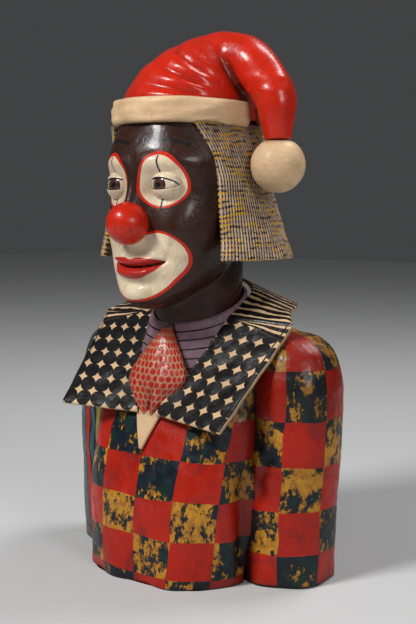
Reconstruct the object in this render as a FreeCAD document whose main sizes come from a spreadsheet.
import FreeCAD, Part
import math
import os

import Sketcher

# A carved and painted wooden clown bust with a bent stocking cap.
# Millimetres. The origin is on the neck axis in the base plane, +Z is up.
# The figure faces -Y and its own left side is +X.

Vector = FreeCAD.Vector
UP = Vector(0, 0, 1)
SIDES = {"left": 1, "right": -1}

# Driving dimensions that stand alone

SIZES = {
    "trunk_wall": 14,
    "trunk_roof": 26,
    "base_thickness": 9,
    "base_rim": 5,
    "fit_gap": 0.3,
    "screw_length": 24,
    "screw_radius": 2,
    "screw_head_radius": 3.8,
    "sleeve_hem_rise": 1,
    "sleeve_cap_rise": 3,
    "sleeve_dowel_radius": 6,
    "sleeve_dowel_length": 22,
    "sleeve_dowel_setback": 6,
    "collar_thickness": 4.5,
    "collar_tilt": 22,
    "shirt_top_rise": 22,
    "shirt_top_radius": 42,
    "shirt_foot_drop": 34,
    "shirt_foot_half_width": 49,
    "shirt_foot_half_depth": 45,
    "shirt_foot_centre": -7,
    "tab_half_width": 12,
    "tab_length": 30,
    "tab_thickness": 4.5,
    "neck_radius": 35,
    "neck_clearance": 1.5,
    "neck_height": 90,
    "felt_thickness": 2,
    "felt_radius": 31,
    "felt_width": 11,
    "spindle_radius": 11,
    "spindle_running_gap": 0.05,
    "spindle_socket_depth": 52,
    "spindle_tail": 18,
    "bush_wall": 6,
    "bush_flange_width": 6,
    "bush_flange_thickness": 4,
    "washer_width": 10,
    "washer_thickness": 3,
    "pin_radius": 3,
    "pin_overhang": 7,
    "chin_gap": 22,
    "nose_radius": 16,
    "nose_height": 64,
    "nose_stand": 8,
    "nose_dowel_radius": 3,
    "nose_dowel_length": 24,
    "eye_radius": 12,
    "eye_spread": 22,
    "eye_height": 92,
    "eye_stand": 2,
    "relief_depth": 11,
    "hair_setback": 11,
    "hair_thickness": 9,
    "hair_drop": 72,
    "hair_hem_stand": 25,
    "hair_ear_stand": 8,
    "hair_top_stand": 0,
    "hair_back_stand": 4,
    "hair_top_tuck": 4,
    "hair_front_reach": 44,
    "hair_front_lean": 7,
    "hair_split": 16,
    "band_height": 19,
    "band_stand": 3,
    "band_bulge": 1.5,
    "band_opening_start": 4,
    "band_opening_end": 27,
    "hat_dowel_radius": 4,
    "hat_dowel_length": 24,
    "hat_dowel_spread": 14,
    "tail_dowel_radius": 4,
    "tail_dowel_length": 22,
    "pompom_radius": 20.5,
    "pompom_drop": 29,
    "pompom_reach": 5,
    "tail_end_radius": 10.5,
    "pompom_dowel_radius": 3,
    "pompom_dowel_length": 22,
}

# Cross-sections from the hem of the jacket to the seat of the neck

TRUNK_COLUMNS = ("rise", "half_width", "half_depth", "centre")
TRUNK_LEVELS = {
    "hem": (0, 68, 64, -19),
    "waist": (55, 72, 63, -17),
    "chest": (55, 75, 56, -10),
    "armpit": (35, 74, 46, -3),
    "shoulder": (25, 61, 39, 6),
    "seat": (14, 41, 36, 4),
}

SLEEVE_COLUMNS = ("spread", "half_width", "half_depth", "centre")
SLEEVE_LEVELS = {
    "hem": (83, 36, 37, 5),
    "waist": (85, 35.5, 37, 5),
    "chest": (88, 35, 37, 7),
    "armpit": (89, 34, 36, 8),
    "shoulder": (87, 30, 31, 9),
    "seat": (79, 22, 22, 12),
    "cap": (72, 13, 13, 14),
}

HEAD_COLUMNS = ("rise", "half_width", "half_depth", "centre")
HEAD_LEVELS = {
    "tip": (0, 12, 9, -58),
    "chin": (7, 25, 20, -54),
    "jaw": (18, 40, 37, -38),
    "lip": (27, 49, 51, -25),
    "cheek": (27, 53, 58.5, -18),
    "brow": (30, 54, 63, -15),
    "temple": (28, 49, 56, -13),
    "scalp": (23, 40, 47, -11),
    "crown": (17, 24, 28, -9),
    "peak": (7, 8, 9, -8),
}

# Raised forms of the face: across, above the chin, half width, half height, how far they stand out

RELIEF_COLUMNS = ("across", "up", "half_width", "half_height", "stand")
RELIEF_FORMS = {
    "brow": (19, 106, 18, 6, 1.4),
    "bridge": (0, 88, 7, 20, 4),
    "upper_lip": (0, 37, 19, 4.5, 4),
    "lower_lip": (0, 30, 16, 5.5, 4.5),
    "chin": (0, 13, 13, 10, 3),
}

# The cap leans to the figure's left as it rises

CAP_COLUMNS = ("rise", "half_width", "half_depth", "lean", "centre")
CAP_LEVELS = {
    "hem": (3, 52, 58.5, 0, -12),
    "fold": (17, 49, 55, 0, -11),
    "slope": (23, 40, 44, 4, -9),
    "bend": (16, 26, 29, 11, -7),
    "top": (7, 13, 15, 15, -6),
}

TAIL_COLUMNS = ("out", "up", "radius", "slant")
TAIL_LEVELS = {
    "root": (22, 54, 19, -8),
    "ridge": (45, 50, 19, 24),
    "bow": (64, 35, 17.5, 50),
    "fall": (77, 14, 15.5, 74),
}

# Corners of the collar boards: across, forward of the axis, above the seat

COLLAR_COLUMNS = ("across", "forward", "up")
COLLAR_CORNERS = {
    "front_inner": (11, 63, -59),
    "front_tip": (79, 74, -58),
    "side_inner": (36, 10, 11),
    "side_outer": (94, 4, 8),
    "wing_inner": (39, -14, 24),
    "wing_outer": (79, -14, 15),
    "quarter_inner": (29, -34, 34),
    "quarter_outer": (64, -46, 17),
    "back_inner": (0, -45, 39),
    "back_outer": (0, -74, 18),
}

CRAVAT_COLUMNS = ("drop", "half_width", "half_depth", "forward")
CRAVAT_LEVELS = {
    "knot": (-6, 4, 5, 40),
    "throat": (12, 17, 10, 45),
    "swell": (32, 27, 13, 50),
    "taper": (48, 18, 10, 55),
    "end": (58, 7, 5, 59),
}

TRUNK_SQUARENESS = 3
HEAD_SQUARENESS = 2.15
ROUND = 2.0
OVAL_POINTS = 20
LOFT_SECTIONS = 13
SCREW_COUNT = 6
FAR = 300

document = FreeCAD.newDocument("clown_bust")
sheet = document.addObject("Spreadsheet::Sheet", "dims")
parts = []


def fill_sheet():
    cells = dict(SIZES)
    tables = {
        "trunk": (TRUNK_COLUMNS, TRUNK_LEVELS),
        "sleeve": (SLEEVE_COLUMNS, SLEEVE_LEVELS),
        "head": (HEAD_COLUMNS, HEAD_LEVELS),
        "face": (RELIEF_COLUMNS, RELIEF_FORMS),
        "cap": (CAP_COLUMNS, CAP_LEVELS),
        "tail": (TAIL_COLUMNS, TAIL_LEVELS),
        "collar": (COLLAR_COLUMNS, COLLAR_CORNERS),
        "cravat": (CRAVAT_COLUMNS, CRAVAT_LEVELS),
    }
    for piece, (columns, levels) in tables.items():
        for level, values in levels.items():
            for column, value in zip(columns, values):
                cells["_".join((piece, level, column))] = value
    for row, (alias, value) in enumerate(cells.items(), start=1):
        sheet.set(f"A{row}", alias)
        sheet.set(f"B{row}", str(value))
        sheet.setAlias(f"B{row}", alias)
    document.recompute()


def size(*words):
    return float(sheet.get("_".join(words)))


def heights(piece, levels, foot):
    result = {}
    level_height = foot
    for level in levels:
        level_height += size(piece, level, "rise")
        result[level] = level_height
    return result


def smooth(knots, values, at):
    """A curve through the values that never swings past them."""
    gaps = [after - before for before, after in zip(knots, knots[1:])]
    rates = [(after - before) / gap for before, after, gap in zip(values, values[1:], gaps)]
    slopes = [rates[0]]
    for before, after in zip(rates, rates[1:]):
        slopes.append(2 * before * after / (before + after) if before * after > 0 else 0)
    slopes.append(rates[-1])
    span = max([index for index in range(len(gaps)) if knots[index] <= at], default=0)
    gap = gaps[span]
    part = (at - knots[span]) / gap
    rest = 1 - part
    start = rest ** 2 * (1 + 2 * part) * values[span] + rest ** 2 * part * gap * slopes[span]
    finish = part ** 2 * (1 + 2 * rest) * values[span + 1] - part ** 2 * rest * gap * slopes[span + 1]
    return start + finish


def level_values(piece, level_heights, column):
    return [size(piece, level, column) for level in level_heights]


def at_height(piece, level_heights, column, height):
    return smooth(list(level_heights.values()), level_values(piece, level_heights, column), height)


def spread(low, high, count=LOFT_SECTIONS):
    return [low + (high - low) * step / (count - 1) for step in range(count)]


# Shape helpers


def oval(centre, half_width, half_depth, squareness=ROUND):
    points = []
    for step in range(OVAL_POINTS):
        angle = 2 * math.pi * step / OVAL_POINTS
        across = math.copysign(abs(math.cos(angle)) ** (2 / squareness), math.cos(angle))
        along = math.copysign(abs(math.sin(angle)) ** (2 / squareness), math.sin(angle))
        points.append(centre + Vector(half_width * across, half_depth * along, 0))
    curve = Part.BSplineCurve()
    curve.interpolate(Points=points, PeriodicFlag=True)
    return Part.Wire(curve.toShape())


def loft(wires, ruled=False):
    return Part.makeLoft(wires, True, ruled)


def cylinder(radius, start, end):
    axis = end - start
    return Part.makeCylinder(radius, axis.Length, start, axis)


def prism(corners, direction):
    outline = Part.makePolygon(corners + corners[:1])
    return Part.Face(outline).extrude(direction)


def carve(blank, *tools):
    result = blank
    for tool in tools:
        result = result.cut(tool)
    return max(result.Solids, key=lambda solid: solid.Volume)


def first_hit(solid, outside, direction):
    ray = Part.makeLine(outside, outside + direction * 2 * FAR)
    inside = ray.common(solid)
    return min((vertex.Point for vertex in inside.Vertexes), key=lambda point: (point - outside).Length)


def mirrored(shape):
    return shape.mirror(Vector(0, 0, 0), Vector(1, 0, 0))


def feature(label, shape):
    item = document.addObject("Part::Feature", label)
    item.Label = label
    item.Shape = shape
    item.Placement = FreeCAD.Placement()
    parts.append(item)
    return item


# Trunk, sleeves and base


def trunk_outline(height, inset=0):
    half_width = at_height("trunk", trunk_heights, "half_width", height) - inset
    half_depth = at_height("trunk", trunk_heights, "half_depth", height) - inset
    centre = Vector(0, at_height("trunk", trunk_heights, "centre", height), height)
    return oval(centre, half_width, half_depth, TRUNK_SQUARENESS)


def trunk_blank_shape():
    return loft([trunk_outline(height) for height in spread(0, seat)])


def trunk_cavity_shape():
    wall = size("trunk_wall")
    return loft([trunk_outline(height, wall) for height in spread(0, seat - size("trunk_roof"))])


def hem_plate(inset, thickness):
    return Part.Face(trunk_outline(0, inset)).extrude(UP * thickness)


def screw_points():
    inset = (size("base_rim") + size("trunk_wall")) / 2
    ring = trunk_outline(0, inset)
    return ring.discretize(Number=SCREW_COUNT + 1)[:SCREW_COUNT]


def screw_shape(point):
    length = size("screw_length")
    shank = size("screw_radius")
    head = size("screw_head_radius")
    cone = Part.makeCone(head, shank, head - shank, point, UP)
    return cone.fuse(cylinder(shank, point, point + UP * length)).removeSplitter()


def sleeve_outline(height):
    spread_out = at_height("sleeve", sleeve_heights, "spread", height)
    centre = Vector(spread_out, at_height("sleeve", sleeve_heights, "centre", height), height)
    half_width = at_height("sleeve", sleeve_heights, "half_width", height)
    half_depth = at_height("sleeve", sleeve_heights, "half_depth", height)
    return oval(centre, half_width, half_depth)


def sleeve_blank_shape():
    levels = spread(size("sleeve_hem_rise"), sleeve_heights["cap"])
    return loft([sleeve_outline(height) for height in levels])


def sleeve_dowel_shapes():
    dowels = []
    half = size("sleeve_dowel_length") / 2
    for level in ("waist", "armpit"):
        outside = Vector(FAR, size("sleeve_dowel_setback"), trunk_heights[level])
        meeting = first_hit(trunk_blank, outside, Vector(-1, 0, 0))
        reach = Vector(half, 0, 0)
        dowels.append(cylinder(size("sleeve_dowel_radius"), meeting - reach, meeting + reach))
    return dowels


# Shirt collar, neckcloth and collar boards


def shirt_blank_shape():
    top = Part.Circle(Vector(0, 0, 0), UP, size("shirt_top_radius")).toShape()
    top.rotate(Vector(0, 0, 0), Vector(1, 0, 0), size("collar_tilt"))
    top.translate(Vector(0, 0, seat + size("shirt_top_rise")))
    foot = oval(Vector(0, size("shirt_foot_centre"), seat - size("shirt_foot_drop")),
                size("shirt_foot_half_width"), size("shirt_foot_half_depth"))
    return loft([foot, Part.Wire(top)], ruled=True)


def cravat_outline(drop):
    centre = Vector(0, -at_height("cravat", cravat_drops, "forward", drop), seat - drop)
    half_width = at_height("cravat", cravat_drops, "half_width", drop)
    return oval(centre, half_width, at_height("cravat", cravat_drops, "half_depth", drop))


def cravat_blank_shape():
    return loft([cravat_outline(drop) for drop in spread(cravat_drops["knot"], cravat_drops["end"])])


def collar_corner(name, side):
    across = size("collar", name, "across")
    forward = size("collar", name, "forward")
    return Vector(side * across, -forward, seat + size("collar", name, "up"))


def collar_section(inner, outer, lift):
    thickness = lift * size("collar_thickness")
    return Part.makePolygon([inner, outer, outer + thickness, inner + thickness, inner])


def collar_front_shape(side):
    front_inner = collar_corner("front_inner", side)
    front_tip = collar_corner("front_tip", side)
    side_inner = collar_corner("side_inner", side)
    lift = (front_tip - front_inner).cross(side_inner - front_inner) * side
    lift.normalize()
    lower = collar_section(front_inner, front_tip, lift)
    upper = collar_section(side_inner, collar_corner("side_outer", side), lift)
    return loft([lower, upper], ruled=True)


def collar_back_shape():
    half_way_round = ["side", "wing", "quarter"]
    stations = [(station, 1) for station in half_way_round]
    stations.append(("back", 1))
    stations += [(station, -1) for station in reversed(half_way_round)]
    sections = []
    for station, side in stations:
        inner = collar_corner(station + "_inner", side)
        outer = collar_corner(station + "_outer", side)
        sections.append(collar_section(inner, outer, UP))
    return loft(sections, ruled=True)


def front_tab_shape():
    top = seat + size("collar_front_inner_up") + size("collar_thickness")
    bottom = top - size("tab_length")
    half_width = size("tab_half_width")
    high = first_hit(trunk_blank, Vector(0, -FAR, top), Vector(0, 1, 0))
    low = first_hit(trunk_blank, Vector(0, -FAR, bottom), Vector(0, 1, 0))
    out = Vector(0, -size("tab_thickness"), 0)
    across = Vector(half_width, 0, 0)
    corners = [high + out - across, high + out + across, low + out]
    return prism(corners, Vector(0, size("trunk_wall"), 0))


# Head, hair, cap and pompom


def head_outline(height):
    centre = Vector(0, at_height("head", head_heights, "centre", height), height)
    half_width = at_height("head", head_heights, "half_width", height)
    return oval(centre, half_width, at_height("head", head_heights, "half_depth", height), HEAD_SQUARENESS)


def ellipsoid(centre, half_width, half_depth, half_height):
    stretch = FreeCAD.Matrix()
    stretch.scale(half_width, half_depth, half_height)
    return Part.makeSphere(1).transformGeometry(stretch).translated(centre)


def relief_shapes(skull):
    shapes = []
    depth = size("relief_depth")
    for form in RELIEF_FORMS:
        across = size("face", form, "across")
        level_height = head_heights["tip"] + size("face", form, "up")
        sides = SIDES.values() if across else (1,)
        for side in sides:
            skin = first_hit(skull, Vector(side * across, -FAR, level_height), Vector(0, 1, 0))
            centre = skin + Vector(0, depth - size("face", form, "stand"), 0)
            half_width = size("face", form, "half_width")
            shapes.append(ellipsoid(centre, half_width, depth, size("face", form, "half_height")))
    return shapes


def head_blank_shape():
    levels = spread(head_heights["tip"], head_heights["peak"], 2 * LOFT_SECTIONS)
    skull = loft([head_outline(height) for height in levels])
    neck_top = neck_foot + size("neck_height")
    neck = cylinder(size("neck_radius"), Vector(0, 0, neck_foot), Vector(0, 0, neck_top))
    return skull.multiFuse([neck] + relief_shapes(skull)).removeSplitter()


def hair_section(fall, stand, inset):
    setback = size("head_brow_centre") + fall * size("hair_setback")
    centre = Vector(0, setback, hair_top - fall * (hair_top - hair_foot))
    half_width = size("head_brow_half_width") + stand - inset
    back_stand = size("hair_back_stand") - (1 - fall) * size("hair_top_tuck")
    half_depth = size("head_brow_half_depth") + back_stand - inset
    return oval(centre, half_width, half_depth, HEAD_SQUARENESS)


def hair_loft(inset):
    hem = hair_section(1, size("hair_hem_stand"), inset)
    ear = hair_section(0.5, size("hair_ear_stand"), inset)
    top = hair_section(0, size("hair_top_stand"), inset)
    return loft([hem, ear, top])


def hair_region(back):
    split = size("hair_split")
    low = hair_foot - 1
    high = hair_top + 1
    front_low = -size("hair_front_reach")
    front_high = front_low - size("hair_front_lean")
    if back:
        profile = [(split, low), (FAR, low), (FAR, high), (split, high)]
        side = -FAR
    else:
        profile = [(front_low, low), (split, low), (split, high), (front_high, high)]
        side = 0
    corners = [Vector(side, along, height) for along, height in profile]
    return prism(corners, Vector(FAR - side, 0, 0))


def cap_outline(height):
    lean = at_height("cap", cap_heights, "lean", height)
    centre = Vector(lean, at_height("cap", cap_heights, "centre", height), height)
    half_width = at_height("cap", cap_heights, "half_width", height)
    return oval(centre, half_width, at_height("cap", cap_heights, "half_depth", height))


def cap_blank_shape():
    return loft([cap_outline(height) for height in spread(cap_heights["hem"], cap_heights["top"])])


def band_blank_shape():
    stand = size("band_stand")
    bulge = size("band_bulge")
    centre = Vector(0, size("cap_hem_centre"), band_foot)
    half_width = size("cap_hem_half_width") + stand
    half_depth = size("cap_hem_half_depth") + stand
    rise = UP * (size("band_height") / 2)
    low = oval(centre, half_width, half_depth)
    middle = oval(centre + rise, half_width + bulge, half_depth + bulge)
    high = oval(centre + rise * 2, half_width - bulge, half_depth - bulge)
    return loft([low, middle, high])


def band_opening_shape():
    centre = Vector(0, size("cap_hem_centre"), band_foot - 1)
    corners = [centre]
    for name in ("band_opening_start", "band_opening_end"):
        angle = math.radians(size(name))
        corners.append(centre + Vector(FAR * math.cos(angle), FAR * math.sin(angle), 0))
    return prism(corners, UP * (size("band_height") + 2))


def tail_shape():
    sections = []
    for level in TAIL_LEVELS:
        out = size("tail", level, "out")
        forward = size("pompom_reach") * out / pompom_centre.x
        centre = Vector(out, -forward, band_foot + size("tail", level, "up"))
        slant = math.radians(size("tail", level, "slant"))
        direction = Vector(math.cos(slant), 0, -math.sin(slant))
        sections.append(Part.Wire(Part.Circle(centre, direction, size("tail", level, "radius")).toShape()))
    end = Part.Circle(pompom_top, Vector(0, 0, -1), size("tail_end_radius"))
    sections.append(Part.Wire(end.toShape()))
    return loft(sections)


# Turned pieces of the neck joint


def bind(item, **expressions):
    for prop, expression in expressions.items():
        item.setExpression(prop.replace("__", "."), expression)


def turned_ring(label, foot, inner, outer, thickness):
    body = document.addObject("PartDesign::Body", label)
    body.Label = label
    sketch = body.newObject("Sketcher::SketchObject", label + "_outline")
    plane = next(item for item in body.Origin.OriginFeatures if item.Role == "XY_Plane")
    sketch.AttachmentSupport = [(plane, "")]
    sketch.MapMode = "FlatFace"
    for name, expression in (("inner", inner), ("outer", outer)):
        circle = sketch.addGeometry(Part.Circle(Vector(0, 0, 0), UP, 10), False)
        sketch.addConstraint(Sketcher.Constraint("Coincident", circle, 3, -1, 1))
        radius = sketch.addConstraint(Sketcher.Constraint("Radius", circle, 10 if name == "inner" else 20))
        sketch.renameConstraint(radius, name)
        sketch.setExpression("Constraints." + name, expression)
    pad = body.newObject("PartDesign::Pad", label + "_pad")
    pad.Profile = sketch
    pad.setExpression("Length", thickness)
    body.setExpression("Placement.Base.z", foot)
    parts.append(body)
    return body


def flanged_bush(label, foot):
    bore = "dims.spindle_radius + dims.spindle_running_gap"
    body = "dims.spindle_radius + dims.bush_wall"
    flange = "dims.spindle_radius + dims.bush_wall + dims.bush_flange_width"
    lower = document.addObject("Part::Cylinder", label + "_flange")
    bind(lower, Radius=flange, Height="dims.bush_flange_thickness")
    upper = document.addObject("Part::Cylinder", label + "_body")
    bind(upper, Radius=body, Height="dims.trunk_roof + dims.bush_flange_thickness")
    joined = document.addObject("Part::Fuse", label + "_blank")
    joined.Base = lower
    joined.Tool = upper
    hole = document.addObject("Part::Cylinder", label + "_bore")
    bind(hole, Radius=bore, Height="dims.trunk_roof + dims.bush_flange_thickness")
    bush = document.addObject("Part::Cut", label)
    bush.Label = label
    bush.Base = joined
    bush.Tool = hole
    bush.setExpression("Placement.Base.z", foot)
    parts.append(bush)
    return bush


def retaining_pin_object(label, middle):
    pin = document.addObject("Part::Cylinder", label)
    pin.Label = label
    bind(pin, Radius="dims.pin_radius", Height="2 * (dims.spindle_radius + dims.pin_overhang)")
    pin.Placement = FreeCAD.Placement(Vector(0, 0, 0), FreeCAD.Rotation(Vector(0, 1, 0), 90))
    bind(pin, Placement__Base__x="-(dims.spindle_radius + dims.pin_overhang)", Placement__Base__z=middle)
    parts.append(pin)
    return pin


def spindle_object(label, foot, top, pin):
    bar = document.addObject("Part::Cylinder", label + "_bar")
    bind(bar, Radius="dims.spindle_radius", Height=f"({top}) - ({foot})")
    bar.setExpression("Placement.Base.z", foot)
    spindle = document.addObject("Part::Cut", label)
    spindle.Label = label
    spindle.Base = bar
    spindle.Tool = pin
    parts.append(spindle)
    return spindle


def check_and_write():
    document.recompute()
    os.makedirs("parts", exist_ok=True)
    for item in document.Objects:
        if "Invalid" in item.State or "Error" in item.State:
            raise RuntimeError(f"{item.Label}: {item.State}")
    for item in parts:
        if item.Shape.isNull() or not item.Shape.isValid() or not item.Shape.Solids:
            raise RuntimeError(f"{item.Label}: bad shape")
        item.Shape.exportStep(f"parts/{item.Label}.step")


# Shared heights and positions

fill_sheet()
trunk_heights = heights("trunk", TRUNK_LEVELS, 0)
seat = trunk_heights["seat"]
sleeve_heights = dict(trunk_heights, cap=seat + size("sleeve_cap_rise"))
cravat_drops = {level: size("cravat", level, "drop") for level in CRAVAT_LEVELS}
neck_foot = seat + size("felt_thickness") + size("fit_gap")
head_heights = heights("head", HEAD_LEVELS, seat + size("chin_gap"))
hair_foot = head_heights["brow"] - size("hair_drop")
hair_top = head_heights["temple"] + size("fit_gap")
band_foot = hair_top
cap_heights = heights("cap", CAP_LEVELS, band_foot)

seat_text = " + ".join(f"dims.trunk_{level}_rise" for level in TRUNK_LEVELS)
flange_text = f"{seat_text} - dims.trunk_roof - dims.bush_flange_thickness"
washer_text = f"{flange_text} - dims.fit_gap - dims.washer_thickness"
pin_text = f"{washer_text} - dims.pin_radius"
spindle_foot_text = f"{pin_text} - dims.spindle_tail"
spindle_top_text = f"{seat_text} + dims.felt_thickness + dims.fit_gap + dims.spindle_socket_depth"

# Neck joint

turned_ring("neck_felt_ring", seat_text, "dims.felt_radius - dims.felt_width", "dims.felt_radius",
            "dims.felt_thickness")
turned_ring("spindle_washer", washer_text, "dims.spindle_radius", "dims.spindle_radius + dims.washer_width",
            "dims.washer_thickness")
bush = flanged_bush("neck_bush", flange_text)
retaining_pin = retaining_pin_object("retaining_pin", pin_text)
spindle = spindle_object("neck_spindle", spindle_foot_text, spindle_top_text, retaining_pin)
document.recompute()

# Torso with its sleeves, base and screws

trunk_blank = trunk_blank_shape()
sleeve_blank = sleeve_blank_shape()
dowel_shapes = sleeve_dowel_shapes()
screw_shapes = [screw_shape(point) for point in screw_points()]
bush_bore = cylinder(size("spindle_radius") + size("bush_wall"), Vector(0, 0, 0), Vector(0, 0, seat))
all_dowels = dowel_shapes + [mirrored(shape) for shape in dowel_shapes]

base_recess = hem_plate(size("base_rim"), size("base_thickness"))
base_blank = hem_plate(size("base_rim") + size("fit_gap"), size("base_thickness"))
torso = carve(trunk_blank, trunk_cavity_shape(), base_recess, bush_bore)
feature("torso", carve(torso, *screw_shapes, *all_dowels))
feature("base_board", carve(base_blank, *screw_shapes))
feature("base_screws", Part.makeCompound(screw_shapes))
feature("sleeve_dowels", Part.makeCompound(all_dowels))
sleeve_blanks = {"left": sleeve_blank, "right": mirrored(sleeve_blank)}
for name, blank in sleeve_blanks.items():
    feature(name + "_sleeve", carve(blank, trunk_blank, *all_dowels))

# Neckwear

neck_opening_radius = size("neck_radius") + size("neck_clearance")
neck_opening = cylinder(neck_opening_radius, Vector(0, 0, seat), Vector(0, 0, seat + size("neck_height")))
shirt_blank = shirt_blank_shape()
cravat_blank = cravat_blank_shape()
cravat = carve(cravat_blank, trunk_blank, neck_opening)
feature("cravat", cravat)
feature("shirt_collar", carve(shirt_blank, trunk_blank, neck_opening, cravat_blank))
collar_fronts = {}
for name, side in SIDES.items():
    board = collar_front_shape(side)
    collar_fronts[name] = carve(board, trunk_blank, sleeve_blanks[name], shirt_blank, cravat_blank)
    feature("collar_front_" + name, collar_fronts[name])
collar_back = carve(collar_back_shape(), trunk_blank, *sleeve_blanks.values(), shirt_blank)
feature("collar_back", carve(collar_back, *collar_fronts.values()))
feature("front_tab", carve(front_tab_shape(), trunk_blank, cravat_blank, *collar_fronts.values()))

# Head with eyes and nose

head_blank = head_blank_shape()
front = Vector(0, -1, 0)
nose_level = head_heights["tip"] + size("nose_height")
nose_seat = first_hit(head_blank, Vector(0, -FAR, nose_level), Vector(0, 1, 0))
nose_blank = Part.makeSphere(size("nose_radius"), nose_seat + front * size("nose_stand"))
nose_reach = front * (size("nose_dowel_length") / 2)
nose_dowel = cylinder(size("nose_dowel_radius"), nose_seat - nose_reach, nose_seat + nose_reach)
eyes = {}
for name, side in SIDES.items():
    outside = Vector(side * size("eye_spread"), -FAR, head_heights["tip"] + size("eye_height"))
    eye_front = first_hit(head_blank, outside, Vector(0, 1, 0))
    eye_centre = eye_front - front * (size("eye_radius") - size("eye_stand"))
    eyes[name] = Part.makeSphere(size("eye_radius"), eye_centre)
hat_dowels = []
for side in SIDES.values():
    foot = Vector(side * size("hat_dowel_spread"), size("head_crown_centre"), head_heights["crown"])
    half = UP * (size("hat_dowel_length") / 2)
    hat_dowels.append(cylinder(size("hat_dowel_radius"), foot - half, foot + half))
spindle_socket = cylinder(size("spindle_radius"), Vector(0, 0, neck_foot),
                          Vector(0, 0, neck_foot + size("spindle_socket_depth")))
feature("head", carve(head_blank, spindle_socket, nose_dowel, *eyes.values(), *hat_dowels))
feature("left_eye", eyes["left"])
feature("right_eye", eyes["right"])
feature("nose_ball", carve(nose_blank, head_blank, nose_dowel))
feature("nose_dowel", nose_dowel)

# Hair

hair_shell = hair_loft(0).cut(hair_loft(size("hair_thickness"))).cut(head_blank)
side_region = hair_region(False)
feature("hair_left", carve(hair_shell.common(side_region)))
feature("hair_right", carve(hair_shell.common(mirrored(side_region))))
feature("hair_back", carve(hair_shell.common(hair_region(True))))

# Cap, tail and pompom

pompom_level = band_foot + size("band_height") - size("pompom_radius") - size("pompom_drop")
pompom_side = Vector(FAR, -size("pompom_reach"), pompom_level)
hair_side_point = first_hit(hair_loft(0), pompom_side, Vector(-1, 0, 0))
pompom_centre = hair_side_point + Vector(size("pompom_radius") + size("fit_gap"), 0, 0)
pompom_blank = Part.makeSphere(size("pompom_radius"), pompom_centre)
pompom_top = pompom_centre + UP * math.sqrt(size("pompom_radius") ** 2 - size("tail_end_radius") ** 2)
cap_blank = cap_blank_shape()
tail_blank = tail_shape()
pompom_half = UP * (size("pompom_dowel_length") / 2)
pompom_dowel = cylinder(size("pompom_dowel_radius"), pompom_top - pompom_half, pompom_top + pompom_half)
tail_root = Vector(size("tail_ridge_out"), -size("pompom_reach") / 2, band_foot + size("tail_ridge_up"))
tail_dowel_foot = tail_root - Vector(size("tail_dowel_length"), 0, 0)
tail_dowel = cylinder(size("tail_dowel_radius"), tail_dowel_foot, tail_root)
band_opening = band_opening_shape()
feature("hat_crown", carve(cap_blank, head_blank, tail_dowel, *hat_dowels))
feature("hat_dowels", Part.makeCompound(hat_dowels))
feature("hat_tail", carve(tail_blank, cap_blank, head_blank, hair_loft(0), tail_dowel, pompom_dowel))
feature("tail_dowel", tail_dowel)
feature("hat_band", carve(band_blank_shape(), cap_blank, head_blank, band_opening, tail_blank))
feature("pompom", carve(pompom_blank, tail_blank, pompom_dowel))
feature("pompom_dowel", pompom_dowel)

check_and_write()
